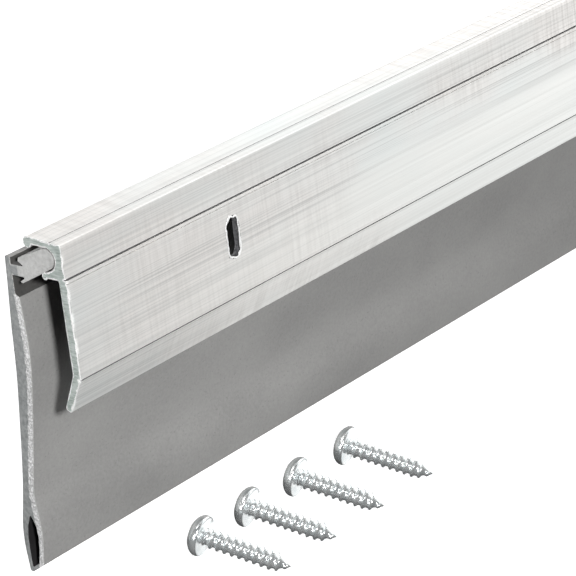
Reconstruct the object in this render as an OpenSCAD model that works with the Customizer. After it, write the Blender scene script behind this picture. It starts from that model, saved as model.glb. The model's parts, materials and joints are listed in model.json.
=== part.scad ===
// Door sweep: an extruded aluminium carrier that screws to the foot of a door, a soft vinyl
// insert that hangs from its channel and ends in a hollow hem, and four loose pan-head screws.
//
// Frame, in millimetres: X runs along the door, +Y points away from the door, +Z is up.
// The origin is on the carrier's mounting face, at mid-length and at the height of the slots.

/* [Sweep] */
// Length of the carrier and of the vinyl, for a 36 inch door
sweep_len = 914.4; // [600:0.1:1220]
// Height of the slots above the lowest point of the hem
hem_drop = 50; // [48:0.5:54]

/* [Carrier] */
// Thickness of the mounting plate
plate_t = 1.6; // [1.3:0.1:1.7]
// Height of the top edge above the slots
plate_top = 12.7; // [12.7:0.1:13.2]
// Depth of the flat mounting face below the slots
face_drop = 10.2; // [9:0.1:11]
// Drop of the kicked-in lower lip below the mounting face
lip_drop = 6.8; // [4:0.1:8]
// Distance that the lower lip kicks away from the door
lip_kick = 2.9; // [1:0.1:3.5]
// Width of the roof that covers the channel
roof_w = 7.7; // [7.4:0.1:8.2]
// Depth of the drawn lines that separate the faces
line_d = 0.35; // [0.1:0.05:0.5]

/* [Slots] */
// Width of a slot, which clears a 3.5 mm screw
slot_w = 3.6; // [3.6:0.1:4.2]
// Overall height of a slot
slot_h = 7.8; // [6:0.1:10]
// Number of slots along the carrier
slot_count = 4; // [2:1:6]
// Distance of the first and last slot from the carrier's ends
slot_inset = 40; // [20:1:80]

/* [Channel and insert head] */
// Radius of the round nose of the insert
nose_r = 1.8; // [1.6:0.05:1.85]
// Clearance between the nose and the channel
nose_gap = 0.3; // [0.2:0.05:0.35]
// Slope of the insert's head, down from the nose, in degrees
head_slope = 25; // [22:1:28]
// Length of the head from the nose's centre to the barbs
head_len = 6.6; // [6:0.1:7]
// Half of the head's thickness at the barbs
barb_r = 2.1; // [1.9:0.05:2.2]

/* [Vinyl flap] */
// Thickness of the thin band that the flap swings on
hinge_t = 1.36; // [1:0.02:1.4]
// Thickness of the flap
flap_t = 3.2; // [2.4:0.1:3.4]
// Gap left between two stretches of vinyl where the flap bends
bend_gap = 0.3; // [0.25:0.05:0.4]
// Wall of the hollow hem
hem_wall = 1.1; // [0.8:0.05:1.3]

/* [Screws] */
// Largest diameter of the thread, a number 6 screw
screw_d = 3.5; // [3:0.1:3.6]
// Length under the head, about five eighths of an inch
screw_len = 16.4; // [12:0.1:20]
// Pitch of the thread
pitch = 1.41; // [1.2:0.01:1.6]
// Diameter of the pan head
head_d = 7.3; // [6:0.1:7.6]
// Height of the pan head
head_h = 2.6; // [1.8:0.1:2.6]
// Spacing of the first two loose screws in their row
screw_step = 12.3; // [9:0.1:18]
// Growth of that spacing from one screw to the next
screw_spread = 0.95; // [0:0.05:2]
// Distance of the first screw from the end of the sweep
screw_start = 18.9; // [8:0.1:60]

/* [Hidden] */

cut = 1;                                        // how far a cut runs past a surface
slot_pitch = (sweep_len - 2 * slot_inset) / (slot_count - 1);
face_top = 6.3;                                 // top of the flat mounting face
upper_set = 0.3;                                // how far the upper face stands back from it
chan_r = nose_r + nose_gap;                     // radius of the channel
chan_c = [plate_t + 0.25 + chan_r, 9.85];       // centre of the channel and of the nose
floor_t = 1.25;                                 // thickness of the channel's floor
floor_z = chan_c[1] - chan_r - floor_t;         // underside of the channel's floor
lip_r = 0.5;                                    // bead on the channel's lower lip
lip_c = [chan_c[0] + 0.75, floor_z + 0.05];
roof_bead_r = 0.95;                             // bead on the edge of the roof
roof_z = plate_top + 0.5;                       // top of that bead

neck_z = [5.8, 7.75];                           // lower and upper face of the insert's neck
web_y = 12.3;                                   // front of the thin upright that the neck joins
web_top = 9;                                    // top of that upright
hinge_c = [13, 3.6];                            // axis that the flap swings on
step_z = 1.8;                                   // where the flap reaches its full thickness
bend_z = -22;                                   // height of the axis that the hem bends on
sway = 4.6;                                     // how far the flap leans away from the door
sway_top = -4;                                  // height where that lean starts
sway_drop = 41;                                 // height over which the flap leans
lean_y = 12.8;                                  // middle of the flap where the lean starts
tear_z = -34.5;                                 // height where the walls of the hem part
tear_r = 2.4;                                   // half of the hem's greatest width
foot_slope = 30;                                // slope of the hem's foot, in degrees

root_r = screw_d * 0.36;                        // radius at the bottom of the thread
tip_len = 3.6;                                  // length of the tapered point
screw_turn = 13;                                // turn of a loose screw about the vertical
screw_y = -4.6;                                 // where the underside of a loose head lies

// A profile drawn in Y and Z, drawn out along X over the whole sweep
module along_sweep(length = sweep_len) {
  rotate([90, 0, 90]) linear_extrude(length, center = true) children();
}

// Points of an arc about c, from angle a to angle b, in degrees
function arc(c, r, a, b, n = 10) =
  [for (i = [0:n]) let (t = a + (b - a) * i / n) c + r * [cos(t), sin(t)]];

// Smooth step from 0 to 1
function ease(t) = let (u = max(0, min(1, t))) u * u * (3 - 2 * u);

// ---- Carrier -------------------------------------------------------------------------------

// Height of the roof at distance y from the mounting face
function roof_at(y) = plate_top + (roof_z - plate_top) * y / roof_w;

// Outside of the carrier, from the roof's bead round by the mounting face to the lip's inside
module carrier_outline() {
  lip_z = -face_drop - lip_drop;
  polygon(concat(
    [[roof_w, roof_z], [2.95, roof_at(2.95)], [2.7, roof_at(2.7) - line_d]],
    [[2.45, roof_at(2.45)]],
    arc([upper_set + 0.4, plate_top - 0.4], 0.4, 90, 180, 5),
    [[upper_set, face_top + 0.7], [upper_set + line_d, face_top + 0.4], [0, face_top - 0.5]],
    [[0, -face_drop + 0.6], [line_d + 0.1, -face_drop - 0.3], [line_d, -face_drop - 0.9]],
    arc([lip_kick + 1.05, lip_z + 0.55], 0.65, 215, 370, 6),
    [[plate_t, -face_drop + 0.1], [plate_t, floor_z], [lip_c[0], floor_z]],
    [[lip_c[0], chan_c[1]], [roof_w, chan_c[1] + chan_r]]
  ));
}

// Room for the nose: round against the plate and open to +Y under the roof
module channel_room() {
  translate(chan_c) circle(chan_r, $fn = 48);
  polygon([
    chan_c + [0, chan_r], chan_c + [12, chan_r], on_head(12, -chan_r), on_head(0, -chan_r)
  ]);
}

module carrier() {
  color("silver") difference() {
    along_sweep() {
      difference() {
        carrier_outline();
        channel_room();
      }
      translate([roof_w, roof_z - roof_bead_r]) circle(roof_bead_r, $fn = 32);
      translate(lip_c) circle(lip_r, $fn = 32);
    }
    for (i = [0:slot_count - 1])
      translate([(i - (slot_count - 1) / 2) * slot_pitch, 0, 0]) slot();
  }
}

// An upright slot with round ends, cut through the plate
module slot() {
  rise = (slot_h - slot_w) / 2;
  for (s = [-1, 1])
    translate([0, -cut, s * rise]) rotate([-90, 0, 0]) cylinder(plate_t + 2 * cut, d = slot_w, $fn = 48);
  translate([-slot_w / 2, -cut, -rise]) cube([slot_w, plate_t + 2 * cut, 2 * rise]);
}

// ---- Vinyl insert --------------------------------------------------------------------------

// Point on the head, s along its slope from the nose's centre and r across it
function on_head(s, r) =
  chan_c + s * [cos(head_slope), -sin(head_slope)] + r * [sin(head_slope), cos(head_slope)];

// Round nose, barbed body, neck and the thin upright above the flap
module insert_head() {
  hinge_top = hinge_c[1] + hinge_t / 2 + bend_gap;
  color("lightgray") along_sweep() polygon(concat(
    arc(chan_c, nose_r, 270 - head_slope, 90 - head_slope, 16),
    [on_head(head_len - 0.4, barb_r), on_head(head_len, barb_r - 0.4)],
    [[9.3, neck_z[1]], [web_y, neck_z[1]], [web_y, web_top], [web_y + 1, web_top]],
    [[hinge_c[0] + hinge_t / 2, hinge_top], [hinge_c[0] - hinge_t / 2, hinge_top]],
    [[web_y, neck_z[0]], [9.3, neck_z[0]]],
    [on_head(head_len + 1.6, -barb_r + 0.35), on_head(head_len + 1.2, -barb_r)]
  ));
}

// Middle of the flap's thickness at height z
function flap_mid(z) = lean_y + sway * ease((sway_top - z) / sway_drop);

// Half of the flap's thickness at height z: it thins towards the hem, opens round the hollow
// and draws in again above the foot
function flap_half(z) =
  flap_t / 2 - 0.3 * ease((bend_z - z) / 10) + (tear_r - flap_t / 2 + 0.3) * ease((tear_z - z) / 7.5)
  - 0.5 * ease((-42.5 - z) / 6.5);

// Front and back of the flap from height a down to height b
function flap_front(a, b, n) =
  [for (i = [0:n]) let (z = a + (b - a) * i / n) [flap_mid(z) - flap_half(z), z]];
function flap_back(a, b, n) =
  [for (i = [0:n]) let (z = a + (b - a) * i / n) [flap_mid(z) + flap_half(z), z]];

bend_c = [flap_mid(bend_z), bend_z];            // axis that the hem bends on
bend_r = flap_half(bend_z);

// The flap from its round upper edge, in the thin band, down to the bend above the hem
module flap_web() {
  low = bend_z + bend_r + bend_gap;
  color("gray") along_sweep() {
    translate(hinge_c) circle(hinge_t / 2, $fn = 32);
    polygon(concat(
      [[hinge_c[0] + hinge_t / 2, hinge_c[1]], [hinge_c[0] - hinge_t / 2, hinge_c[1]]],
      [[hinge_c[0] - hinge_t / 2, step_z + 0.7]],
      flap_front(step_z, low, 12),
      flap_back(low, sway_top, 10)
    ));
  }
}

// Outer outline of the hem: both walls, and the sloping foot with its round corners
foot_z = -hem_drop;
back_c = [flap_mid(foot_z) + tear_r - 1.05, foot_z + 0.8];
front_c = back_c + 2.75 * [-cos(foot_slope), sin(foot_slope)];

module hem_outline() {
  polygon(concat(
    flap_front(bend_z, -46, 16),
    arc(front_c, 0.8, 180, 270 - foot_slope, 5),
    arc(back_c, 0.8, 270 - foot_slope, 370, 7),
    flap_back(-46, bend_z, 16)
  ));
}

// Teardrop hollow of the hem, one wall inside its outline
module hem_hollow() {
  top = tear_z - 4.5;
  low = front_c[1];
  polygon(concat(
    [for (i = [0:8]) let (z = top + (low - top) * i / 8)
      [flap_mid(z) - max(0.05, flap_half(z) - hem_wall) * ease((top - z) / 4 + 0.1), z]],
    [front_c + [0.45, -0.1], back_c + [-0.55, 0.35]],
    [for (i = [0:8]) let (z = low + (top - low) * i / 8)
      [flap_mid(z) + max(0.05, flap_half(z) - hem_wall) * ease((top - z) / 4 + 0.1), z]]
  ));
}

module hem_bulb() {
  color("gray") along_sweep() {
    translate(bend_c) circle(bend_r, $fn = 48);
    difference() {
      hem_outline();
      hem_hollow();
    }
  }
}

// ---- Screws --------------------------------------------------------------------------------

// Radius to the thread's crest at distance x below the head, tapered over the point
function crest(x) = screw_d / 2 * min(1, (screw_len - x) / tip_len + 0.12);
function root(x) = root_r * min(1, (screw_len - x) / tip_len + 0.12);

// A pan-head screw on the Z axis: its head's underside at 0 and its point at -screw_len
module pan_screw() {
  turns = floor((screw_len - 1.2) / pitch);
  difference() {
    rotate_extrude($fn = 48) polygon(concat(
      [[0, -screw_len], [root_r * 0.2, -screw_len + 0.3]],
      [for (i = [turns:-1:1], p = [[0.5, 0], [0, 1], [-0.5, 0]])
        let (x = (i + p[0] * 0.5) * pitch) [p[1] == 1 ? crest(x) : root(x), -x]],
      [[root_r, 0], [head_d / 2 - 0.25, 0]],
      arc([head_d / 2 - 0.6, 0.6], 0.6, -60, 30, 4),
      arc([0, -2.6], head_h + 2.6, 55, 90, 6)
    ));
    for (a = [0, 90])
      rotate(a) translate([-1.7, -0.45, head_h - 1.3]) cube([3.4, 0.9, 1.3 + cut]);
  }
}

// A screw lying loose, with its head's rim and its point both level with the hem's foot
module loose_screw(i) {
  tilt = asin(head_d / 2 / screw_len);
  along = screw_start + i * screw_step + i * (i - 1) / 2 * screw_spread;
  color("gainsboro")
    translate([-sweep_len / 2 + along, screw_y, foot_z + head_d / 2 * cos(tilt)])
      rotate([0, 0, screw_turn]) rotate([-90 + tilt, 0, 0]) pan_screw();
}

module mounting_screw_1() { loose_screw(0); }
module mounting_screw_2() { loose_screw(1); }
module mounting_screw_3() { loose_screw(2); }
module mounting_screw_4() { loose_screw(3); }

carrier();
insert_head();
flap_web();
hem_bulb();
mounting_screw_1();
mounting_screw_2();
mounting_screw_3();
mounting_screw_4();
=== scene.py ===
# %% [markdown]
# # A door sweep, built around its CAD frame
# A door sweep closes the gap under a door. An aluminium strip screws to the door, and a soft vinyl
# insert hangs from a channel in it. The real parts are extrusions: one outline, drawn out long.
# The CAD model already fixes every size and joint, so this lesson only gives the parts their
# finer shape and their finish, in the same coordinates, and never moves the frame.

import json
import math
import random

import bmesh
import bpy
from mathutils import Matrix, Vector, noise
from mathutils.geometry import delaunay_2d_cdt

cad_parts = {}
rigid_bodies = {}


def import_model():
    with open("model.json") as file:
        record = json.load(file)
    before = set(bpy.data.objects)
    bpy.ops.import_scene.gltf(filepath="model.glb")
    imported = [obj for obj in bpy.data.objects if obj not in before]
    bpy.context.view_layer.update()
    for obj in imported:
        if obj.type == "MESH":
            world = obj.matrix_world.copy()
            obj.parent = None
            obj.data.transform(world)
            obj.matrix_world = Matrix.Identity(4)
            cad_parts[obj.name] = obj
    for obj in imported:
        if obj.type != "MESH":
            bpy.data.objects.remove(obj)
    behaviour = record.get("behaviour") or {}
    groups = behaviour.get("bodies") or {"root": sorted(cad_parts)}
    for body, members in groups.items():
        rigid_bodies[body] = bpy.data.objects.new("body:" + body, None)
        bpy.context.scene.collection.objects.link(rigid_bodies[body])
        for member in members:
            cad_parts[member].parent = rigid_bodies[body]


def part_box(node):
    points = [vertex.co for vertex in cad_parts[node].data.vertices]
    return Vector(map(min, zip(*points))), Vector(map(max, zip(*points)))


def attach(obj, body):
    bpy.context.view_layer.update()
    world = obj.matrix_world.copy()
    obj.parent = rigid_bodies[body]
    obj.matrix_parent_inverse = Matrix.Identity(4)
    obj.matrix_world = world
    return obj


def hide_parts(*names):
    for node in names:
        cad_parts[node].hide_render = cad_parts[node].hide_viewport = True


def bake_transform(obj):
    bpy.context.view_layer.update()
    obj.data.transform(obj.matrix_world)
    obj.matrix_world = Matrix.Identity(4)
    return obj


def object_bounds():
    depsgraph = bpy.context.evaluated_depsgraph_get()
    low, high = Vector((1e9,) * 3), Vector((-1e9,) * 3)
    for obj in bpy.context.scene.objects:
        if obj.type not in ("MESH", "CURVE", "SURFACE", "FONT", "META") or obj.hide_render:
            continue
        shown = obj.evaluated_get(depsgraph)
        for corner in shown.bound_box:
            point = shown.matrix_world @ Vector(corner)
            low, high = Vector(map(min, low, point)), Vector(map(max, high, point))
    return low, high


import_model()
cad_box = [list(corner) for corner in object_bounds()]
MM = 0.001
near_end, far_end = (corner[0] / MM for corner in cad_box)
sweep_length = far_end - near_end
print(f"sweep {sweep_length:.1f} mm long, from x = {near_end:.1f} to {far_end:.1f}")

# %% [markdown]
# ## The camera
# A long lens keeps the strip's edges nearly parallel, as a catalogue picture does. The camera
# could be aimed with a Track To constraint, but a fixed matrix of three directions is exact, and
# it also holds the slight roll that lifts the far end of the strip.

# %% Aim the camera
camera_place = Vector((-0.7435, -0.3066, 0.1638))
view_right = Vector((0.6350, -0.7647, -0.1099)).normalized()
view_back = Vector((-0.6907, -0.6256, 0.3627)).normalized()
view_up = view_back.cross(view_right).normalized()
view_right = view_up.cross(view_back)
lens_data = bpy.data.cameras.new("catalogue_lens")
lens_data.lens = 175
lens_data.sensor_width = 36
lens_data.clip_start = 0.05
camera = bpy.data.objects.new("catalogue_camera", lens_data)
bpy.context.collection.objects.link(camera)
turn = Matrix((view_right, view_up, view_back)).transposed().to_4x4()
camera.matrix_world = Matrix.Translation(camera_place) @ turn
bpy.context.scene.camera = camera
print("camera looks along", [round(v, 3) for v in -view_back])

# %% [markdown]
# ## Drawing outlines
# Every long part here is one outline in Y and Z. Corners of real extrusions are never sharp,
# because metal and vinyl flow round the die. A bevel modifier could round them later, but giving
# each corner its own radius in the outline keeps the tiny grooves and lips under control.

# %% Outline helpers
def arc(centre, radius, start, stop, count=8):
    """Points of an arc about centre, from start to stop in degrees."""
    turns = [math.radians(start + (stop - start) * i / count) for i in range(count + 1)]
    return [(centre[0] + radius * math.cos(a), centre[1] + radius * math.sin(a)) for a in turns]


def soften(corners, steps=5):
    """Rounds the corners of a closed outline: a corner is (y, z) or (y, z, radius)."""
    points = []
    for i, corner in enumerate(corners):
        here = Vector(corner[:2])
        radius = corner[2] if len(corner) > 2 else 0
        before = Vector(corners[i - 1][:2]) - here
        after = Vector(corners[(i + 1) % len(corners)][:2]) - here
        if not radius or before.length < 1e-6 or after.length < 1e-6:
            points.append(here)
            continue
        half = max(0.05, before.angle(after) / 2)
        reach = min(radius / math.tan(half), before.length * 0.48, after.length * 0.48)
        a, b = here + before.normalized() * reach, here + after.normalized() * reach
        for k in range(steps + 1):
            t = k / steps
            points.append(a * (1 - t) ** 2 + here * 2 * t * (1 - t) + b * t * t)
    return [tuple(p) for p in points]


def refine(points, step):
    """Splits the long runs of a closed outline, so that no run is longer than step."""
    fine = []
    for i, p in enumerate(points):
        a, b = Vector(p), Vector(points[(i + 1) % len(points)])
        if (b - a).length < 1e-4:
            continue
        parts = max(1, math.ceil((b - a).length / step))
        fine += [tuple(a.lerp(b, k / parts)) for k in range(parts)]
    return fine


def outward(points):
    """The direction out of a closed outline at each of its points."""
    area = sum(points[i - 1][0] * p[1] - p[0] * points[i - 1][1] for i, p in enumerate(points))
    side = 1 if area > 0 else -1
    normals = []
    for i in range(len(points)):
        run = Vector(points[(i + 1) % len(points)]) - Vector(points[i - 1])
        normals.append(Vector((run.y, -run.x)).normalized() * side)
    return normals


def inside(point, points):
    """Whether a point lies inside a closed outline."""
    y, z = point
    hit = False
    for i, (ay, az) in enumerate(points):
        by, bz = points[i - 1]
        if (az > z) != (bz > z) and y < (by - ay) * (z - az) / (bz - az) + ay:
            hit = not hit
    return hit


print("an arc of 90 degrees:", len(arc((0, 0), 1, 0, 90)), "points")

# %% [markdown]
# ## Drawing an outline out, and sawing its ends
# The strip is made by drawing the outline along X. A flat n-gon would do for the ends, but a sawn
# end is the first thing that is seen here, so each end is a fine triangle net that carries the
# marks of the cut. Constrained Delaunay triangulation makes that net, and leaves out the hollow.

# %% The sawn end
join_reach = 0.02  # mm either side of the height where two pieces join
weld_reach = 0.002  # mm between points that are the same point


def end_net(loops, step, seed):
    """Triangles that fill the first loop and leave out the others, with points inside."""
    rng = random.Random(seed)
    outer, holes = loops[0], loops[1:]
    rim = [p for loop in loops for p in loop]
    ys, zs = [p[0] for p in outer], [p[1] for p in outer]
    cells = {}
    for p in rim:
        cells.setdefault((int(p[0] // step), int(p[1] // step)), []).append(p)

    def clear(q):
        cy, cz = int(q[0] // step), int(q[1] // step)
        close = [p for i in (-1, 0, 1) for j in (-1, 0, 1) for p in cells.get((cy + i, cz + j), [])]
        return all(math.hypot(p[0] - q[0], p[1] - q[1]) > step * 0.55 for p in close)

    extra = []
    for row in range(int((max(zs) - min(zs)) / step)):
        for column in range(int((max(ys) - min(ys)) / step) + 1):
            q = (min(ys) + (column + 0.5 * (row % 2) + rng.uniform(-0.2, 0.2)) * step,
                 min(zs) + (row + 0.5 + rng.uniform(-0.2, 0.2)) * step)
            if inside(q, outer) and not any(inside(q, h) for h in holes) and clear(q):
                extra.append(q)
    edges, first = [], 0
    for loop in loops:
        edges += [(first + i, first + (i + 1) % len(loop)) for i in range(len(loop))]
        first += len(loop)
    found = delaunay_2d_cdt([Vector(p) for p in rim + extra], edges, [], 0, 1e-5)
    points = [tuple(p) for p in found[0]]
    triangles = []
    for face in found[2]:
        middle = tuple(sum(points[v][k] for v in face) / 3 for k in (0, 1))
        if inside(middle, outer) and not any(inside(middle, h) for h in holes):
            triangles.append(face)
    on_rim = {i for i, source in enumerate(found[3]) if any(s < len(rim) for s in source)}
    return points, triangles, on_rim


def draw_out(name, loops, stations, shift, relief, zone, step, finishes, skin, joined=None):
    """Draws outlines along X. shift moves a point off the outline and relief marks the cut ends.

    skin gives the finish of a face along the length, and zone that of a spot on a cut end.
    """
    mesh_maker = bmesh.new()
    rings = []
    for x in stations:
        ring = []
        for which, loop in enumerate(loops):
            moved = []
            for p, n in zip(loop, outward(loop)):
                off = shift(x, p) * (1 if which == 0 else -1)
                moved.append((p[0] + n.x * off, p[1] + n.y * off))
            ring.append(moved)
        rings.append(ring)
    ends = {stations[0]: -1, stations[-1]: 1}

    def height_at(x, y, z):
        """Where two pieces join, the cut end runs on from one to the other."""
        at_join = x in ends and joined is not None and abs(z - joined) < join_reach
        return x + ends[x] * relief(y, z) if at_join else x

    def rim_verts(x, loop):
        return [mesh_maker.verts.new((height_at(x, y, z) * MM, y * MM, z * MM)) for y, z in loop]

    rows = [[rim_verts(x, loop) for loop in ring] for x, ring in zip(stations, rings)]
    for x, a, b in zip(stations, rows, rows[1:]):
        for which, (la, lb) in enumerate(zip(a, b)):
            for i in range(len(la)):
                j = (i + 1) % len(la)
                face = mesh_maker.faces.new((la[i], la[j], lb[j], lb[i]))
                y, z = [(loops[which][i][k] + loops[which][j][k]) / 2 for k in (0, 1)]
                face.material_index = skin(which, x, y, z)
    for x, ring, side in ((stations[0], rings[0], -1), (stations[-1], rings[-1], 1)):
        points, triangles, on_rim = end_net(ring, step, seed=len(name) + side)
        verts = []
        for i, (y, z) in enumerate(points):
            high = height_at(x, y, z) if i in on_rim else x + side * relief(y, z)
            verts.append(mesh_maker.verts.new((high * MM, y * MM, z * MM)))
        for triangle in triangles:
            face = mesh_maker.faces.new([verts[v] for v in triangle])
            middle = [sum(points[v][k] for v in triangle) / 3 for k in (0, 1)]
            face.material_index = zone(*middle)
    bmesh.ops.remove_doubles(mesh_maker, verts=mesh_maker.verts, dist=weld_reach * MM)
    bmesh.ops.recalc_face_normals(mesh_maker, faces=mesh_maker.faces)
    return add_object(name, mesh_maker, finishes)


def add_object(name, mesh_maker, finishes, sharp=32):
    """Turns a bmesh into an object with its finishes, and keeps its sharp edges sharp."""
    mesh = bpy.data.meshes.new(name)
    mesh_maker.to_mesh(mesh)
    mesh_maker.free()
    for finish in finishes:
        mesh.materials.append(finish)
    mesh.shade_smooth()
    mesh.set_sharp_from_angle(angle=math.radians(sharp))
    piece = bpy.data.objects.new(name, mesh)
    bpy.context.collection.objects.link(piece)
    return piece


def open_edges(piece):
    """How many edges of a piece don't lie between exactly two faces."""
    tally = {}
    for polygon in piece.data.polygons:
        for key in polygon.edge_keys:
            tally[key] = tally.get(key, 0) + 1
    return sum(1 for count in tally.values() if count != 2)


print("helpers for sawn ends are ready")

# %% [markdown]
# ## Finishes, as node materials
# All finishes are worked out by nodes from the object's own coordinates, in metres, so a noise of
# scale 1000 has grains about a millimetre wide. Painted image maps could do this too, but they
# would need unwrapping a strip that is 900 mm long and 60 mm high. Stretching a noise along X is
# how drawn lines come about: the die scratches the metal as it slides past.

# %% Node helpers
def new_finish(name, colour, roughness, metallic=0.0):
    """A material with its main shader; colour, roughness and metallic go on the shader."""
    finish = bpy.data.materials.new(name)
    finish.use_nodes = True
    shader = finish.node_tree.nodes["Principled BSDF"]
    shader.inputs["Base Color"].default_value = (*colour, 1)
    shader.inputs["Roughness"].default_value = roughness
    shader.inputs["Metallic"].default_value = metallic
    return finish, finish.node_tree, shader


def grain(tree, stretch, detail=3, roughness=0.55, offset=(0, 0, 0)):
    """A noise in the object's own coordinates, stretched by three scales."""
    place = tree.nodes.new("ShaderNodeTexCoord")
    scale = tree.nodes.new("ShaderNodeMapping")
    scale.inputs["Scale"].default_value = stretch
    scale.inputs["Location"].default_value = offset
    pattern = tree.nodes.new("ShaderNodeTexNoise")
    pattern.inputs["Scale"].default_value = 1
    pattern.inputs["Detail"].default_value = detail
    pattern.inputs["Roughness"].default_value = roughness
    tree.links.new(place.outputs["Object"], scale.inputs["Vector"])
    tree.links.new(scale.outputs["Vector"], pattern.inputs["Vector"])
    return pattern.outputs["Fac"]


def spread(tree, value, low, high, to_low=0.0, to_high=1.0):
    """Maps a value from low..high to to_low..to_high, and holds it at the ends."""
    node = tree.nodes.new("ShaderNodeMapRange")
    for key, number in zip(("From Min", "From Max", "To Min", "To Max"), (low, high, to_low, to_high)):
        node.inputs[key].default_value = number
    tree.links.new(value, node.inputs["Value"])
    return node.outputs["Result"]


def tint(tree, factor, first, second):
    """Blends two colours; either may be a colour or the output of another node."""
    node = tree.nodes.new("ShaderNodeMix")
    node.data_type = "RGBA"
    tree.links.new(factor, node.inputs["Factor"])
    for socket, colour in ((node.inputs[6], first), (node.inputs[7], second)):
        if isinstance(colour, tuple):
            socket.default_value = (*colour, 1)
        else:
            tree.links.new(colour, socket)
    return node.outputs[2]


def combine(tree, operation, first, second):
    """One step of arithmetic on values or numbers."""
    node = tree.nodes.new("ShaderNodeMath")
    node.operation = operation
    for socket, value in zip(node.inputs, (first, second)):
        if isinstance(value, (int, float)):
            socket.default_value = value
        else:
            tree.links.new(value, socket)
    return node.outputs[0]


def emboss(tree, shader, height, depth, strength=1.0):
    """Sends a height through a Bump node to the shader; depth is in metres."""
    node = tree.nodes.new("ShaderNodeBump")
    node.inputs["Strength"].default_value = strength
    node.inputs["Distance"].default_value = depth
    tree.links.new(height, node.inputs["Height"])
    tree.links.new(node.outputs["Normal"], shader.inputs["Normal"])


print("node helpers: grain, spread, tint, combine, emboss")

# %% [markdown]
# ## Mill-finish aluminium
# A carrier like this is sold as it leaves the press: bright, with fine lines along its length,
# wider soft bands, and warm or cool smudges where it was handled. Anisotropy would stretch the
# highlights, but the lines are coarse enough to see one by one, so they are drawn as a noise
# that runs along X, in colour, roughness and bump together.

# %% Aluminium finish
mill_aluminium, tree, shader = new_finish("mill_aluminium", (0.78, 0.79, 0.78), 0.42, 1.0)
fine_lines = grain(tree, (5, 1500, 1500), detail=4, roughness=0.7)
hair_lines = grain(tree, (11, 3300, 3300), detail=3, roughness=0.6, offset=(2, 8, 5))
wide_bands = grain(tree, (2.5, 230, 230), detail=2, offset=(3, 1, 2))
handling = grain(tree, (16, 30, 38), detail=4, offset=(1.3, 0.4, 2.2))
scuffs = grain(tree, (1700, 90, 90), detail=3, roughness=0.6, offset=(5, 2, 1))
pores = grain(tree, (1900, 1900, 1900), detail=2)
metal = tint(tree, spread(tree, handling, 0.40, 0.62), (0.80, 0.835, 0.825), (0.885, 0.865, 0.84))
metal = tint(tree, spread(tree, fine_lines, 0.50, 0.34, 0, 0.27), metal, (0.52, 0.53, 0.52))
metal = tint(tree, spread(tree, hair_lines, 0.50, 0.30, 0, 0.50), metal, (0.45, 0.46, 0.45))
metal = tint(tree, spread(tree, wide_bands, 0.50, 0.36, 0, 0.14), metal, (0.60, 0.61, 0.60))
marked = combine(tree, "MULTIPLY", spread(tree, scuffs, 0.42, 0.62), spread(tree, handling, 0.48, 0.60))
metal = tint(tree, combine(tree, "MULTIPLY", marked, 0.16), metal, (0.60, 0.58, 0.56))
place = tree.nodes.new("ShaderNodeTexCoord")
axes = tree.nodes.new("ShaderNodeSeparateXYZ")
tree.links.new(place.outputs["Object"], axes.inputs["Vector"])
uneven_x = combine(tree, "ADD", axes.outputs["X"], spread(tree, handling, 0.3, 0.7, -0.02, 0.02))
uneven_z = combine(tree, "ADD", axes.outputs["Z"], spread(tree, handling, 0.3, 0.7, -0.003, 0.003))
# painted reflection: the plate's lower face turns lighter away from the near end, with noisy edges
reflection_ramp, low = spread(tree, uneven_x, -0.435, -0.39), spread(tree, uneven_z, 0.001, -0.003)
painted_reflection = combine(tree, "MULTIPLY", reflection_ramp, combine(tree, "MULTIPLY", low, 0.55))
metal = tint(tree, painted_reflection, metal, (0.93, 0.93, 0.90))
tree.links.new(metal, shader.inputs["Base Color"])
lined = spread(tree, fine_lines, 0.3, 0.7, 0.50, 0.34)
dulled = combine(tree, "ADD", lined, spread(tree, marked, 0, 1, 0, 0.1))
tree.links.new(dulled, shader.inputs["Roughness"])
surface = combine(tree, "ADD", fine_lines, combine(tree, "MULTIPLY", pores, 0.22))
emboss(tree, shader, surface, 0.00003, 0.32)
print("mill_aluminium:", len(tree.nodes), "nodes")

# %% [markdown]
# The sawn end of the carrier is duller and a little green-grey, with the blade's fine strokes
# across it. It is a second finish, so that the cut reads as a cut and not as more of the face.

# %% Sawn aluminium
sawn_aluminium, tree, shader = new_finish("sawn_aluminium", (0.7, 0.73, 0.71), 0.5, 0.35)
strokes = grain(tree, (300, 500, 3600), detail=3)
patches = grain(tree, (700, 700, 700), detail=2, offset=(2, 2, 0))
metal = tint(tree, spread(tree, strokes, 0.35, 0.65), (0.38, 0.44, 0.41), (0.62, 0.68, 0.65))
metal = tint(tree, spread(tree, patches, 0.45, 0.62, 0, 0.4), metal, (0.66, 0.70, 0.68))
tree.links.new(metal, shader.inputs["Base Color"])
tree.links.new(spread(tree, patches, 0.3, 0.7, 0.40, 0.62), shader.inputs["Roughness"])
emboss(tree, shader, strokes, 0.00005, 0.7)
print("sawn_aluminium:", len(tree.nodes), "nodes")

# %% [markdown]
# The punch and the saw push up small burrs, round the slots and round the cut ends. Their finish is
# near white: a painted highlight along these edges and round the rim of each sawn end.

# %% Burrs with a painted highlight
# near-white finish: a painted highlight on the burrs and the rims of the cut ends
burr_painted_highlight, tree, shader = new_finish("burr_painted_highlight", (0.96, 0.96, 0.95), 0.3, 0.15)
burr_highlight_grain = grain(tree, (2400, 2400, 2400), detail=2, offset=(1, 4, 1))
metal = tint(tree, spread(tree, burr_highlight_grain, 0.3, 0.6), (0.80, 0.81, 0.80), (0.99, 0.99, 0.98))
tree.links.new(metal, shader.inputs["Base Color"])
emboss(tree, shader, burr_highlight_grain, 0.00004, 0.6)
print("burr_painted_highlight:", len(tree.nodes), "nodes")
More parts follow.
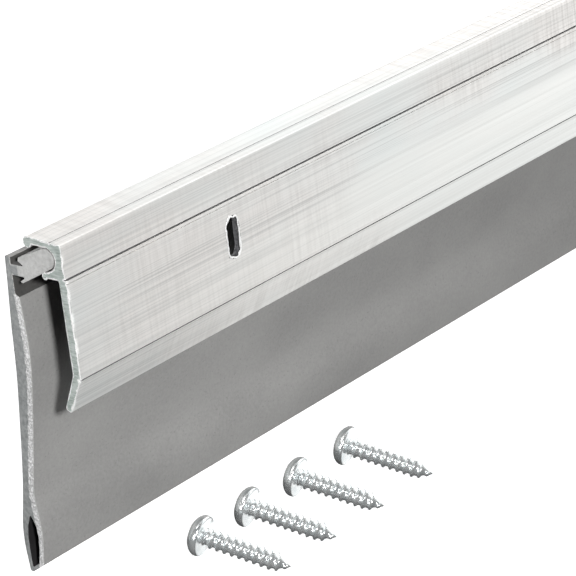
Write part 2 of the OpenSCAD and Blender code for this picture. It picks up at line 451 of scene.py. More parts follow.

# %% [markdown]
# The three grooves along the strip, and the walls of the slots, are dull and dark: painted shade in these
# recesses.

# %% Painted shade for the grooves and slot walls
# dark finish: painted shade in the grooves and on the slot walls
groove_painted_shade, tree, shader = new_finish("groove_painted_shade", (0.13, 0.13, 0.14), 0.6, 0.5)
groove_shade_grain = grain(tree, (60, 2000, 2000), detail=3, offset=(6, 1, 2))
metal = tint(tree, spread(tree, groove_shade_grain, 0.35, 0.65), (0.14, 0.14, 0.15), (0.34, 0.34, 0.35))
tree.links.new(metal, shader.inputs["Base Color"])
emboss(tree, shader, groove_shade_grain, 0.00002, 0.5)
print("groove_painted_shade:", len(tree.nodes), "nodes")

# %% [markdown]
# The side of the plate that faces the flap is painted dark: painted shade that keeps the gap behind the
# plate dark.

# %% Painted shade for the inner side
# dark aluminium: painted shade on the side that faces the flap
inner_painted_shade, tree, shader = new_finish("inner_painted_shade", (0.25, 0.25, 0.25), 0.6, 0.8)
inner_lines = grain(tree, (6, 1300, 1300), detail=3, offset=(2, 6, 1))
metal = tint(tree, spread(tree, inner_lines, 0.35, 0.65), (0.15, 0.15, 0.155), (0.30, 0.30, 0.30))
tree.links.new(metal, shader.inputs["Base Color"])
emboss(tree, shader, inner_lines, 0.00003, 0.5)
print("inner_painted_shade:", len(tree.nodes), "nodes")

# %% [markdown]
# ## Grey vinyl
# The insert is soft PVC: matte, mid-grey, with a faint orange-peel skin and slow changes of tone
# along its length. Where it is cut, the blade leaves a rough pale band along the front and a
# smoother, darker zone behind it. The insert's head is a stiffer, paler vinyl, and the same pale
# finish rims edges of the cut as a painted highlight. Two more tones are painted shade for the
# shadowed places: the hem's hollow, and the thin band under the neck. All six finishes share one
# recipe, which a function holds.

# %% Vinyl finishes
def vinyl(name, dark, light, roughness, coarse, depth, mottled=0.65):
    """Soft PVC between two tones, with a skin of the given grain and depth."""
    finish, tree, shader = new_finish(name, light, roughness)
    skin = grain(tree, (coarse, coarse, coarse), detail=3, roughness=0.6)
    mottle = grain(tree, (26, 60, 45), detail=3, offset=(4, 1, 3))
    specks = grain(tree, (2600, 2600, 2600), detail=1, offset=(1, 7, 2))
    slow = spread(tree, mottle, 0.35, 0.65, 0, mottled)
    tone = combine(tree, "ADD", slow, spread(tree, skin, 0.35, 0.65, 0, 1 - mottled))
    colour = tint(tree, tone, dark, light)
    colour = tint(tree, spread(tree, specks, 0.66, 0.74, 0, 0.35), colour, tuple(c * 0.55 for c in dark))
    tree.links.new(colour, shader.inputs["Base Color"])
    polish = spread(tree, skin, 0.3, 0.7, roughness - 0.07, roughness + 0.07)
    tree.links.new(polish, shader.inputs["Roughness"])
    shader.inputs["Specular IOR Level"].default_value = 0.35
    shader.inputs["Sheen Weight"].default_value = 0.12
    shader.inputs["Sheen Roughness"].default_value = 0.45
    emboss(tree, shader, skin, depth, 0.6)
    return finish


vinyl_skin = vinyl("vinyl_skin", (0.245, 0.243, 0.238), (0.345, 0.342, 0.334), 0.56, 1700, 0.00005)
vinyl_torn = vinyl("vinyl_torn", (0.28, 0.28, 0.28), (0.84, 0.84, 0.84), 0.66, 2500, 0.00018, 0.2)
vinyl_shorn = vinyl("vinyl_shorn", (0.17, 0.18, 0.18), (0.36, 0.37, 0.37), 0.5, 1100, 0.00006, 0.4)
# the head's own paler vinyl, also used on rims of the cut as a painted highlight
vinyl_head_and_rim_highlight = vinyl("vinyl_head_and_rim_highlight", (0.30, 0.30, 0.295), (0.56, 0.56, 0.55), 0.6, 1500, 0.00012, 0.6)
# painted shade: near black for the hem's hollow, dark for the band and the notch by the neck
vinyl_hollow_shade = vinyl("vinyl_hollow_shade", (0.010, 0.009, 0.010), (0.022, 0.021, 0.022), 0.7, 1300, 0.00004)
vinyl_band_shade = vinyl("vinyl_band_shade", (0.045, 0.044, 0.042), (0.085, 0.083, 0.08), 0.62, 1300, 0.00004)
vinyl_finishes = [vinyl_skin, vinyl_torn, vinyl_shorn, vinyl_head_and_rim_highlight, vinyl_hollow_shade, vinyl_band_shade]
SKIN, TORN, SHORN, HEAD_AND_RIM_HIGHLIGHT, HOLLOW_SHADE, BAND_SHADE = range(len(vinyl_finishes))
print("vinyl finishes:", ", ".join(finish.name for finish in vinyl_finishes))

# %% [markdown]
# ## Bright zinc
# Zinc-plated screws are nearly mirrors, but the plating has a faint cloudiness, and it is dull
# in the thread's roots. A small spread of roughness keeps the sharp black and white of the
# reflections and still looks like plating and not like chrome.

# %% Zinc finish
bright_zinc, tree, shader = new_finish("bright_zinc", (0.88, 0.91, 0.92), 0.2, 0.74)
clouds = grain(tree, (900, 900, 900), detail=3)
fine_scratch = grain(tree, (5200, 5200, 1800), detail=2, offset=(1, 2, 3))
plating = tint(tree, spread(tree, clouds, 0.35, 0.65), (0.80, 0.85, 0.86), (0.93, 0.95, 0.95))
tree.links.new(plating, shader.inputs["Base Color"])
tree.links.new(spread(tree, clouds, 0.3, 0.7, 0.13, 0.25), shader.inputs["Roughness"])
emboss(tree, shader, fine_scratch, 0.000006, 0.25)
print("bright_zinc:", len(tree.nodes), "nodes")

# %% [markdown]
# ## The carrier's outline
# From the roof's fine line the outline runs round the rolled bead, into the round channel that
# holds the insert, over the lower lip's bead, down the back of the plate, round the kicked-in
# lip, and back up the door's side past the two drawn lines. The numbers are millimetres.

# %% Carrier outline
channel_centre = (3.95, 9.85)
channel_radius = 2.1
slope = math.radians(25)


def on_head(along, across):
    """A point of the insert's head, by its distance along the slope and across it."""
    return (channel_centre[0] + along * math.cos(slope) + across * math.sin(slope),
            channel_centre[1] - along * math.sin(slope) + across * math.cos(slope))


roof = [(0.30, 12.70, 0.45), (2.60, 12.87, 0.04), (2.64, 12.55), (2.74, 12.55)]
roof += [(2.80, 12.88, 0.04), (6.6, 13.17)]
roof += arc((7.7, 12.25), 0.95, 90, -118, 14)
channel = [(6.85, 11.95, 0.25)] + arc(channel_centre, channel_radius, 90, 245, 22)
lower_lip = [on_head(1.05, -channel_radius)] + arc((4.80, 6.74), 0.54, 108, -125, 12)
inner_side = [(4.3, 6.5, 0.1), (1.6, 6.5, 0.35), (1.6, -10.05, 0.4)]
inner_side += [(4.50, -16.55, 0.42), (3.40, -17.15, 0.40)]
door_side = [(0.22, -10.92, 0.04), (0.60, -10.80), (0.60, -10.68), (0.04, -10.62, 0.04), (0.0, -10.2)]
upper_line = [(0.0, 6.02), (0.14, 6.06), (0.14, 6.13), (0.0, 6.17), (0.02, 6.60, 0.06)]
upper_line += [(0.60, 6.72), (0.60, 6.84), (0.20, 6.90, 0.05), (0.27, 7.2)]
carrier_outline = refine(soften(roof + channel + lower_lip + inner_side + door_side + upper_line), 0.45)
print("carrier outline:", len(carrier_outline), "points")

# %% [markdown]
# ## The carrier and its sawn ends
# The strip is sawn to length, which pushes up a small uneven burr just behind each end. Extra
# stations close to the ends carry that burr, and the faces take their finish from where they lie.

# %% Carrier with its sawn ends
MILL, SAWN, BURR_HIGHLIGHT, GROOVE_SHADE, INNER_SHADE = range(5)
carrier_finishes = [mill_aluminium, sawn_aluminium, burr_painted_highlight, groove_painted_shade, inner_painted_shade]
# lowest and highest y, then z, round the two lines on the door's side and the one on the roof
grooves = [(0.15, 1.0, 6.66, 6.88), (0.1, 1.0, -10.86, -10.62), (2.6, 2.8, 12.5, 12.8)]


def carrier_shift(x, point):
    """The saw leaves a small uneven burr round the outline, close to each end."""
    gap = min(x - near_end, far_end - x)
    if 0.02 < gap < 0.2:
        return 0.06 + 0.20 * noise.noise(Vector((point[0] * 0.7, point[1] * 0.7, x * 0.01)))
    return 0.0


def saw_marks(y, z):
    """Height of the blade's marks on the sawn end."""
    return 0.02 * math.sin(z * 9 + 2.5 * y) + 0.03 * noise.noise(Vector((y * 2, z * 2, 1)))


def rim_gap(y, z):
    """How far a spot of the sawn end is from the carrier's outline."""
    spot, nearest = Vector((y, z)), 9.0
    for i, corner in enumerate(carrier_outline):
        a, b = Vector(carrier_outline[i - 1]), Vector(corner)
        run = b - a
        t = max(0.0, min(1.0, (spot - a).dot(run) / max(1e-9, run.length_squared)))
        nearest = min(nearest, (a + run * t - spot).length)
    return nearest


def carrier_zone(y, z):
    """The sawn end gets a painted highlight in an uneven rim along the outline."""
    width = 0.17 + 0.22 * noise.noise(Vector((y * 0.9, z * 0.9, 5.0)))
    # an uneven rim of painted highlight round the sawn end
    return BURR_HIGHLIGHT if rim_gap(y, z) < width else SAWN


def carrier_skin(which, x, y, z):
    """The burr at the sawn ends gets a painted highlight; the grooves and the side that faces the flap get
    painted shade.
    """
    if x < near_end + 0.1 or x > far_end - 0.2:
        # the real burr close to each end, in the painted-highlight finish
        return BURR_HIGHLIGHT
    # the three grooves get painted shade
    if any(y0 < y < y1 and z0 < z < z1 for y0, y1, z0, z1 in grooves):
        return GROOVE_SHADE
    # below the bend the lip's front leans by 0.51 per mm, and its back lies about 0.8 mm behind
    behind = y > 1.5 if z > -10.1 else y > 0.22 - 0.51 * (z + 10.92) + 0.8
    # the side that faces the flap gets painted shade
    return INNER_SHADE if z < 6.45 and behind and y < 4.6 else MILL


end_steps = [0, 0.12, 0.45, 0.7, 1.4]
carrier_stations = [near_end + s for s in end_steps]
carrier_stations += [near_end + sweep_length * i / 12 for i in range(1, 12)]
carrier_stations += [far_end - s for s in reversed(end_steps)]
carrier = draw_out("carrier_strip", [carrier_outline], carrier_stations, carrier_shift, saw_marks,
                   carrier_zone, 0.2, carrier_finishes, carrier_skin)
print("carrier:", len(carrier.data.polygons), "faces,", open_edges(carrier), "open edges")

# %% [markdown]
# ## Cutting the slots
# The screws pass through four upright slots. They are punched, so each leaves a thin raised burr
# round its mouth. A Boolean modifier cuts a slightly uneven cutter out of the plate. It leaves a
# few tiny gaps where a corner lies along an edge, so those are closed, and the burr is a small
# bead that follows the slot's edge.

# %% The slots and their burrs
slot_width, slot_height, slot_inset, slot_count = 3.6, 7.8, 40.0, 4
plate_thickness = 1.6
slot_run = sweep_length - 2 * slot_inset
slot_places = [near_end + slot_inset + i * slot_run / (slot_count - 1) for i in range(slot_count)]


def slot_path(grow, count=14, wobble=0.0, seed=0):
    """Points round an upright slot, grown by a distance and made a little uneven."""
    radius, rise = slot_width / 2 + grow, (slot_height - slot_width) / 2
    points = [(x, z + rise) for x, z in arc((0, 0), radius, 0, 180, count)]
    points += [(-radius, rise * k / 4) for k in (3, 2, 1, 0, -1, -2, -3)]
    points += [(x, z - rise) for x, z in arc((0, 0), radius, 180, 360, count)]
    points += [(radius, rise * k / 4) for k in (-3, -2, -1, 0, 1, 2, 3)]
    uneven = [1 + wobble * noise.noise(Vector((x * 1.3, z * 1.3, seed))) for x, z in points]
    return [(x * u, z * u) for (x, z), u in zip(points, uneven)]


def slot_cutter(x, seed):
    """A prism that cuts one slot right through the plate."""
    maker = bmesh.new()
    path = slot_path(0, wobble=0.05, seed=seed)
    rings = [[maker.verts.new(((x + a) * MM, y * MM, b * MM)) for a, b in path]
             for y in (-1, plate_thickness + 1)]
    maker.faces.new(rings[0])
    maker.faces.new(rings[1])
    for i in range(len(path)):
        j = (i + 1) % len(path)
        maker.faces.new((rings[0][i], rings[0][j], rings[1][j], rings[1][i]))
    bmesh.ops.recalc_face_normals(maker, faces=maker.faces)
    # the cutter's dark finish goes onto the slot walls as painted shade
    return add_object(f"slot_cutter_{seed}", maker, [groove_painted_shade])


def slot_burr(x, seed):
    """The raised bead that the punch leaves round one slot, on the door's side."""
    maker = bmesh.new()
    path = slot_path(-0.20, wobble=0.13, seed=seed)
    sides = 8
    rings = []
    for (a, b), n in zip(path, outward(path)):
        thick = 0.20 + 0.20 * noise.noise(Vector((a * 1.1, b * 1.1, seed + 9)))
        ring = []
        for k in range(sides):
            angle = 2 * math.pi * k / sides
            off, lift = thick * math.cos(angle), thick * math.sin(angle)
            spot = ((x + a + n.x * off) * MM, (0.06 + lift * 0.75) * MM, (b + n.y * off) * MM)
            ring.append(maker.verts.new(spot))
        rings.append(ring)
    for i, ring in enumerate(rings):
        following = rings[(i + 1) % len(rings)]
        for k in range(sides):
            m = (k + 1) % sides
            maker.faces.new((ring[k], ring[m], following[m], following[k]))
    bmesh.ops.recalc_face_normals(maker, faces=maker.faces)
    # the real bead, in the near-white finish that paints a highlight round the slot
    return add_object(f"slot_burr_{seed}", maker, [burr_painted_highlight], sharp=60)


def heal_seams(piece):
    """Where the cutter left a corner lying along a neighbour's edge, the edge gets that corner too.

    Slivers that are still open after that are filled.
    """
    maker = bmesh.new()
    maker.from_mesh(piece.data)
    for _ in range(8):
        loose = [e for e in maker.edges if len(e.link_faces) == 1]
        corners = list(dict.fromkeys(v for e in loose for v in e.verts))
        splits = []
        for edge in loose:
            a, b = edge.verts
            along = b.co - a.co
            for v in corners:
                if v is a or v is b:
                    continue
                t = (v.co - a.co).dot(along) / along.length_squared
                if 0.0 < t < 1.0 and (v.co - a.co - t * along).length < weld_reach * MM:
                    splits.append((edge, a, t, v))
                    break
        if not splits:
            break
        for edge, a, t, v in splits:
            made = bmesh.utils.edge_split(edge, a, t)[1]
            made.co = v.co
        bmesh.ops.remove_doubles(maker, verts=maker.verts, dist=weld_reach / 10 * MM)
    bmesh.ops.holes_fill(maker, edges=[e for e in maker.edges if len(e.link_faces) == 1], sides=0)
    bmesh.ops.recalc_face_normals(maker, faces=maker.faces)
    maker.to_mesh(piece.data)
    maker.free()


for number, x in enumerate(slot_places, start=1):
    cutter = slot_cutter(x, number)
    cut = carrier.modifiers.new(cutter.name, "BOOLEAN")
    cut.object = cutter
    cut.solver = "EXACT"
    # the slot walls take the cutter's painted-shade finish
    cut.material_mode = "TRANSFER"
bpy.context.view_layer.update()
cut_mesh = bpy.data.meshes.new_from_object(carrier.evaluated_get(bpy.context.evaluated_depsgraph_get()))
carrier.modifiers.clear()
carrier.data = cut_mesh
heal_seams(carrier)
carrier.data.set_sharp_from_angle(angle=math.radians(32))
for number in range(1, slot_count + 1):
    bpy.data.objects.remove(bpy.data.objects[f"slot_cutter_{number}"])
burrs = [slot_burr(x, number) for number, x in enumerate(slot_places, start=1)]
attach(carrier, "carrier")
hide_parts("carrier")
for burr in burrs:
    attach(burr, "carrier")
print("slots cut:", len(slot_places), "carrier now has", open_edges(carrier), "open edges")

# %% [markdown]
# ## The vinyl insert's outline
# The insert is one extrusion. Its round nose and barbs sit in the channel, a neck leads to a thin
# band that the flap swings on, and the flap swells, leans back, and parts into a hollow hem. The
# front and back of the flap are each one smooth curve, so a few heights with a smooth curve
# through them describe it better than arcs would.

# %% Curves of the flap
# height, front, back: all in mm
flap_rows = [
    (2, 11.45, 14.06), (-3.7, 11.15, 14.56), (-7.1, 11.06, 14.75), (-10.6, 11.28, 14.98),
    (-14.1, 11.72, 15.32), (-17.7, 12.3, 15.76), (-22, 13.08, 16.32), (-27, 14.05, 16.98),
    (-31.8, 14.98, 17.68), (-34.9, 15.36, 18.25), (-37.5, 15.2, 18.80), (-39.7, 14.97, 19.26),
    (-41.8, 14.89, 19.60), (-44, 15.08, 19.74), (-46.3, 15.43, 19.68), (-48.6, 15.85, 19.45),
]


def smooth_curve(rows, column, z):
    """Height z on a smooth curve through one column of the rows."""
    k = 1
    while k < len(rows) - 1 and rows[k][0] > z:
        k += 1
    (z0, *a), (z1, *b) = rows[k - 1], rows[k]
    before = rows[max(0, k - 2)]
    after = rows[min(len(rows) - 1, k + 1)]
    t = max(0.0, min(1.0, (z - z0) / (z1 - z0)))
    m0 = (b[column] - before[column + 1]) / (z1 - before[0]) * (z1 - z0)
    m1 = (after[column + 1] - a[column]) / (after[0] - z0) * (z1 - z0)
    h = (2 * t ** 3 - 3 * t ** 2 + 1, t ** 3 - 2 * t ** 2 + t, -2 * t ** 3 + 3 * t ** 2, t ** 3 - t ** 2)
    return h[0] * a[column] + h[1] * m0 + h[2] * b[column] + h[3] * m1


def flap_edge(column, high, low, step=0.5):
    """Points down the flap's front (0) or back (1), from a high to a low z."""
    count = max(1, round((high - low) / step))
    heights = [high + (low - high) * i / count for i in range(count + 1)]
    return [(smooth_curve(flap_rows, column, z), z) for z in heights]


seam = -8.0
nose_radius = 1.8
neck_top, neck_foot = 7.75, 5.8
nose = arc(channel_centre, nose_radius, 245, 65, 18)
barbs = [(*on_head(6.2, 2.1), 0.3), (*on_head(6.65, 1.55), 0.1), (9.25, neck_top, 0.35)]
upright = [(12.3, neck_top, 0.15), (12.28, 8.98, 0.15), (13.5, 9.0, 0.2), (13.86, 4.0)]
band = [(11.45, 1.98, 0.12), (12.30, 2.5, 0.3), (12.30, neck_foot, 0.15), (9.25, neck_foot, 0.3)]
lower_barb = [(*on_head(8.2, -1.65), 0.12), (*on_head(7.75, -2.1), 0.2)]
upper_outline = soften(nose + barbs + upright + flap_edge(1, 1.5, seam) + flap_edge(0, 1.5, seam)[::-1]
                       + band + lower_barb)
upper_outline = refine(upper_outline, 0.4)
foot_front, foot_back, foot_radius = (16.20, -47.66), (18.86, -49.42), 0.55
foot = arc(foot_back, foot_radius, 15, -122, 12) + arc(foot_front, foot_radius, 238, 190, 6)
lower_outline = flap_edge(1, seam, -48.2) + foot + flap_edge(0, seam, -46.8)[::-1]
lower_outline = refine(lower_outline, 0.5)
hollow_back = [(17.55, -39.45), (18.21, -41.1), (18.57, -43.4), (18.64, -45.6)]
hollow_back += [(18.62, -47.6), (18.55, -49.05, 0.2)]
hollow_front = [(16.92, -47.98, 0.2), (16.72, -47.1), (16.34, -45.1), (16.10, -42.8)]
hollow_front += [(16.22, -41.0), (16.72, -39.8)]
hollow = refine(soften([(17.26, -38.9, 0.15)] + hollow_back + hollow_front, 4), 0.4)
print("insert outlines:", len(upper_outline), "and", len(lower_outline), "points, hollow", len(hollow))

# %% [markdown]
# ## The insert, drawn out and cut
# A blade cuts the vinyl to length. It tears the front of the flap and shears the rest, so the cut
# end is rough and pale in front and smooth behind. The insert is two meshes that meet edge to edge
# at the seam, in the middle of the flap, and the cut end runs on across it without a step.

# %% Cut ends of the vinyl
def vinyl_shift(x, point):
    """A rounded cut edge at the ends, and a slow waviness along the soft flap."""
    if abs(point[1] - seam) < join_reach:
        return 0.0
    gap = min(x - near_end, far_end - x)
    soft = max(0.0, min(1.0, (2.0 - point[1]) / 12))
    wave = 0.018 * soft * noise.noise(Vector((x * 0.021, point[1] * 0.05, 4.0)))
    if gap < 0.02:
        wave -= 0.03 + 0.01 * noise.noise(Vector((point[0] * 1.5, point[1] * 1.5, 2.0)))
    return wave


def torn_edge(z):
    """Where the rough front band of the cut gives way to the smooth zone, in y."""
    front = smooth_curve(flap_rows, 0, z)
    return front + 1.28 + 0.16 * noise.noise(Vector((0, z * 0.9, 7.0)))


def vinyl_zone(y, z):
    """The finish of a spot on the cut end; the head's pale vinyl also rims the neck and the flap's front as
    a painted highlight along those edges.
    """
    if y < 11.0 and z > 4:
        return HEAD_AND_RIM_HIGHLIGHT
    if z > 2.4:
        gaps = [y - 12.3] if z < neck_foot or z > neck_top else []
        gaps += [neck_top - z, z - neck_foot] if y < 12.5 and neck_foot < z < neck_top else []
        # a thin rim along the band's front and the neck's edges gets a painted highlight in the head finish
        rim = 0.2 + 0.25 * noise.noise(Vector((y, z, 1.0)))
        return HEAD_AND_RIM_HIGHLIGHT if gaps and min(gaps) < rim else SHORN
    front = smooth_curve(flap_rows, 0, z)
    # the flap's front edge of the cut gets a painted highlight in the head finish
    if y < front + 0.22 + 0.3 * noise.noise(Vector((0, z * 1.6, 2.0))):
        return HEAD_AND_RIM_HIGHLIGHT
    return TORN if y < torn_edge(z) else SHORN


def vinyl_relief(y, z):
    """Roughness of the cut: beads in the torn band, almost flat behind it."""
    beads = noise.noise(Vector((y * 3.1, z * 3.1, 3.0)))
    if vinyl_zone(y, z) == TORN:
        return 0.05 + 0.11 * beads
    return 0.02 + 0.025 * beads


def vinyl_side(which, x, y, z):
    """The soft band and the notch above the neck get painted shade; the hollow's inside gets painted shade,
    nearly black.
    """
    if which:
        return HOLLOW_SHADE
    in_band = 2.05 < z < neck_foot + 0.1 and 9.3 < y < 12.4
    in_notch = neck_top - 0.1 < z < 8.9 and 9.4 < y < 12.4
    return BAND_SHADE if in_band or in_notch else SKIN


vinyl_net = 0.26
vinyl_stations = [near_end, near_end + 0.1, near_end + 0.5]
vinyl_stations += [near_end + sweep_length * i / 48 for i in range(1, 48)]
vinyl_stations += [far_end - 0.5, far_end - 0.1, far_end]
upper_vinyl = draw_out("insert_upper", [upper_outline], vinyl_stations, vinyl_shift, vinyl_relief,
                       vinyl_zone, vinyl_net, vinyl_finishes, vinyl_side, joined=seam)
lower_vinyl = draw_out("insert_lower", [lower_outline, hollow], vinyl_stations, vinyl_shift, vinyl_relief,
                       vinyl_zone, vinyl_net, vinyl_finishes, vinyl_side, joined=seam)
for piece in (upper_vinyl, lower_vinyl):
    print(piece.name, len(piece.data.polygons), "faces,", open_edges(piece), "open edges")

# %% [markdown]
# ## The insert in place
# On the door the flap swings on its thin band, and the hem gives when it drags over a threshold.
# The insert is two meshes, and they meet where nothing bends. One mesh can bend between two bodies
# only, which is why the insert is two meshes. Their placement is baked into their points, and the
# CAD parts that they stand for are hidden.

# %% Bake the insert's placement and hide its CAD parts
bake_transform(upper_vinyl)
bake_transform(lower_vinyl)
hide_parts("insert_head", "flap_web")
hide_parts("hem_bulb")

# %% [markdown]
# ## The screws
# They are small tapping screws with a pan head, close to number 6 by 5/8 in. A real thread is a
# helix, and a stack of rings would look wrong at this distance. The mesh winds one thread's
# profile round the shank: each turn's last edge falls on the next turn's first edge, and merging
# the doubles closes it. At the tip the core narrows to a point and the thread shrinks with it.

# %% Screw shape
screw_length, thread_radius, core_radius, pitch = 16.4, 1.75, 1.28, 1.41
head_radius, head_height, tip_length = 3.65, 2.6, 2.9
# place along one pitch, and lift from the root at 0 to the crest at 1
thread_profile = [(-0.5, 0.0), (-0.36, 0.04), (-0.26, 0.30), (-0.12, 0.86), (0.0, 1.0),
                  (0.12, 0.86), (0.26, 0.30), (0.36, 0.04)]


def shank_radius(depth, lift):
    """Radius at a depth below the head, for a lift of 0 at the root to 1 at the crest."""
    left = max(0.0, screw_length - depth)
    core = core_radius * min(1.0, left / tip_length) ** 0.85
    fade = max(0.0, min(1.0, (depth - 0.15) / 0.9)) * min(1.0, left / (tip_length * 0.85)) ** 0.6
    return core + (thread_radius - core_radius) * lift * fade


def wind_thread(maker, sides=36, start=-0.5):
    """Winds the thread's profile down the shank, from inside the head to the point."""
    turns = int(screw_length / pitch) + 3
    columns = []
    for step in range(turns * sides + 1):
        angle = 2 * math.pi * step / sides
        column = []
        for share, lift in thread_profile + [(0.5, 0.0)]:
            depth = start - pitch + (step / sides + share) * pitch
            radius = 0.0 if depth <= start or depth >= screw_length else shank_radius(depth, lift)
            depth = max(start, min(screw_length, depth))
            spot = (radius * math.cos(angle) * MM, radius * math.sin(angle) * MM, -depth * MM)
            column.append(maker.verts.new(spot))
        columns.append(column)
    for a, b in zip(columns, columns[1:]):
        for k in range(len(thread_profile)):
            maker.faces.new((a[k], a[k + 1], b[k + 1], b[k]))


def turn_head(maker, sides=48):
    """Turns the pan head's outline round the axis: a fillet, a flat seat, a rim and a low dome."""
    outline = [(0, -0.35), (core_radius - 0.1, -0.35), (core_radius + 0.04, -0.3)]
    outline += [(core_radius + 0.16, -0.12), (core_radius + 0.4, -0.01), (head_radius - 0.42, 0.03)]
    outline += [(r, a + 0.45) for r, a in arc((head_radius - 0.4, 0), 0.4, -85, 10, 7)]
    outline += [(head_radius - 0.02, 0.95), (head_radius - 0.16, 1.32), (head_radius - 0.48, 1.74)]
    outline += [(head_radius - 0.98, 2.12), (head_radius - 1.65, 2.37), (head_radius - 2.5, 2.56)]
    outline += [(0, head_height)]
    rings = []
    for radius, rise in outline:
        if radius == 0:
            rings.append([maker.verts.new((0, 0, rise * MM))])
            continue
        angles = [2 * math.pi * k / sides for k in range(sides)]
        spots = [(radius * math.cos(a) * MM, radius * math.sin(a) * MM, rise * MM) for a in angles]
        rings.append([maker.verts.new(spot) for spot in spots])
    for a, b in zip(rings, rings[1:]):
        for k in range(sides):
            m = (k + 1) % sides
            corners = (a[k % len(a)], a[m % len(a)], b[m % len(b)], b[k % len(b)])
            maker.faces.new(list(dict.fromkeys(corners)))


shank_maker = bmesh.new()
wind_thread(shank_maker)
bmesh.ops.remove_doubles(shank_maker, verts=shank_maker.verts, dist=0.004 * MM)
bmesh.ops.recalc_face_normals(shank_maker, faces=shank_maker.faces)
shank = add_object("screw_shank", shank_maker, [bright_zinc], sharp=50)
head_maker = bmesh.new()
turn_head(head_maker)
bmesh.ops.recalc_face_normals(head_maker, faces=head_maker.faces)
head = add_object("screw_head", head_maker, [bright_zinc], sharp=40)
print("shank", len(shank.data.polygons), "faces, open:", open_edges(shank), " head open:", open_edges(head))

# %% [markdown]
# ## The cross recess
# The driver's recess is four tapered wings that meet in the middle. It is cut out of the dome
# with a Boolean modifier, which leaves its crisp edges.

# %% Recess and finished screw
def recess_wing(turned):
    """One tapered bar of the recess, turned about the screw's axis."""
    maker = bmesh.new()
    top, foot = head_height + 0.4, head_height - 1.35
    corners = []
    for rise, reach, half in ((foot, 0.75, 0.2), (top, 2.05, 0.5)):
        corners.append([(reach, half), (-reach, half), (-reach, -half), (reach, -half)])
        corners[-1] = [maker.verts.new((a * MM, b * MM, rise * MM)) for a, b in corners[-1]]
    low, high = corners
    maker.faces.new(low)
    maker.faces.new(high)
    for k in range(4):
        m = (k + 1) % 4
        maker.faces.new((low[k], low[m], high[m], high[k]))
    bmesh.ops.recalc_face_normals(maker, faces=maker.faces)
    bmesh.ops.rotate(maker, verts=maker.verts, cent=(0, 0, 0), matrix=Matrix.Rotation(turned, 3, "Z"))
    return add_object(f"recess_wing_{round(math.degrees(turned))}", maker, [bright_zinc])


wings = [recess_wing(math.radians(a)) for a in (20, 110)]
for wing in wings:
    cut = head.modifiers.new(wing.name, "BOOLEAN")
    cut.object = wing
    cut.solver = "EXACT"
join = head.modifiers.new("join_shank", "BOOLEAN")
join.object = shank
join.operation = "UNION"
join.solver = "EXACT"
bpy.context.view_layer.update()
screw_mesh = bpy.data.meshes.new_from_object(head.evaluated_get(bpy.context.evaluated_depsgraph_get()))
screw_mesh.set_sharp_from_angle(angle=math.radians(42))
for helper in wings + [head, shank]:
    bpy.data.objects.remove(helper)
print("one screw:", len(screw_mesh.polygons), "faces")

# %% [markdown]
# ## Laying the screws down
# The four screws lie loose in front of the strip, side by side, each on a body of its own so that
# it can be picked up. Each is the same mesh, copied and placed in the row, and its CAD part is hidden.

# %% Four loose screws
screw_start, screw_step, screw_spread, screw_row = 18.9, 12.3, 0.95, -4.6
foot_level = -50.0
screw_turn = 13  # degrees from square to the strip
lean = math.asin(head_radius / screw_length)
for i in range(4):
    along = screw_start + i * screw_step + i * (i - 1) / 2 * screw_spread
    place = Vector((near_end + along, screw_row, foot_level + head_radius * math.cos(lean))) * MM
    lie = Matrix.Rotation(math.radians(screw_turn), 4, "Z") @ Matrix.Rotation(lean - math.pi / 2, 4, "X")
    mesh = screw_mesh.copy()
    mesh.transform(Matrix.Translation(place) @ lie)
    screw = bpy.data.objects.new(f"tapping_screw_{i + 1}", mesh)
    bpy.context.collection.objects.link(screw)
    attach(screw, f"screw_{i + 1}")
    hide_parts(f"mounting_screw_{i + 1}")
    low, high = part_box(f"mounting_screw_{i + 1}")
    print(screw.name, "at", [round(v, 4) for v in place], "CAD box", [round(v, 4) for v in (*low, *high)])

# %% [markdown]
# ## The floor
# A catalogue picture has an even, almost shadowless white ground. The floor is a plain pale sheet
# that glows a little, just under the sweep. Bounced light and reflections leave it out, so that
# the metal keeps dark undersides.

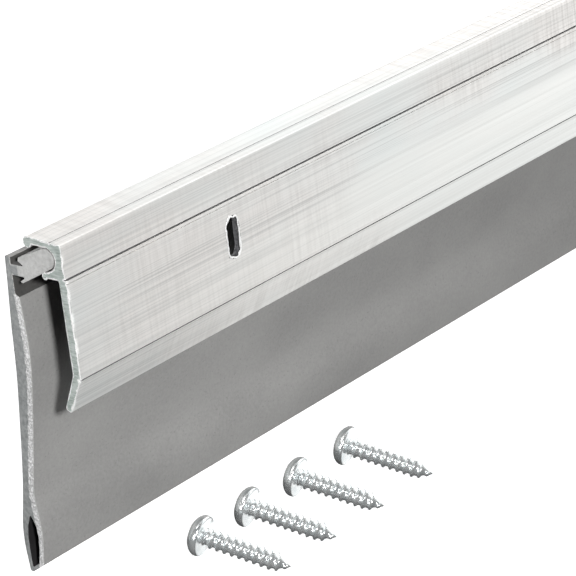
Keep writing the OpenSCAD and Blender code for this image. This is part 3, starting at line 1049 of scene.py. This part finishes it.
# %% Floor
floor_maker = bmesh.new()
floor_drop = 1.15
floor_level = (foot_level - floor_drop) * MM
reach = 12.0
corners = [(-reach, -reach), (reach, -reach), (reach, reach), (-reach, reach)]
floor_maker.faces.new([floor_maker.verts.new((x, y, floor_level)) for x, y in corners])
pale_floor, tree, shader = new_finish("pale_floor", (0.9, 0.9, 0.9), 0.9)
shader.inputs["Emission Color"].default_value = (1, 1, 1, 1)
shader.inputs["Emission Strength"].default_value = 0.75
floor = add_object("floor", floor_maker, [pale_floor])
floor.visible_diffuse = False
floor.visible_glossy = False
print("floor at z =", round(floor_level, 4))

# %% [markdown]
# ## Lamps and surroundings
# A small key lamp stands in front, to the left. A second lamp lights the cut ends and leaves the
# gap behind the plate dark, and a broad one hangs above. The surroundings are bright to the right
# and dim to the left and straight down, which gives the metal something to reflect.

# %% Lamps and surroundings
def lamp(name, place, target, size, power):
    """A square soft lamp, aimed at a point."""
    data = bpy.data.lights.new(name, "AREA")
    data.energy = power
    data.size = size
    thing = bpy.data.objects.new(name, data)
    bpy.context.collection.objects.link(thing)
    thing.location = place
    thing.rotation_euler = (Vector(target) - Vector(place)).to_track_quat("-Z", "Y").to_euler()
    return thing


subject = Vector((near_end * MM + 0.06, 0, -0.015))
lamp("key", subject + Vector((-0.31, -0.42, 0.21)), subject, 0.05, 3.1)
lamp("end", subject + Vector((-0.95, 0.08, 0.22)), subject, 0.25, 4.2)
lamp("top", subject + Vector((0.5, 0.2, 1.4)), subject, 0.9, 3.0)

world = bpy.data.worlds.new("studio")
bpy.context.scene.world = world
world.use_nodes = True
tree = world.node_tree
background = tree.nodes["Background"]
direction = tree.nodes.new("ShaderNodeTexCoord")
parts = tree.nodes.new("ShaderNodeSeparateXYZ")
tree.links.new(direction.outputs["Generated"], parts.inputs["Vector"])
sideways = spread(tree, parts.outputs["X"], 0.30, 0.82, 0.02, 1.40)
height = combine(tree, "MULTIPLY", spread(tree, parts.outputs["Z"], -0.96, -0.78, 0.03, 1.0),
                 spread(tree, parts.outputs["Z"], -0.1, 0.4, 1.0, 1.3))
tree.links.new(combine(tree, "MULTIPLY", sideways, height), background.inputs["Strength"])
background.inputs["Color"].default_value = (1, 1, 1, 1)
bpy.context.scene.view_settings.view_transform = "Standard"
print("world and lamps are set")

# %% [markdown]
# ## The CAD box
# The box of the CAD model, measured at the start, is printed.

# %% Print the CAD box
print("CAD box", cad_box)
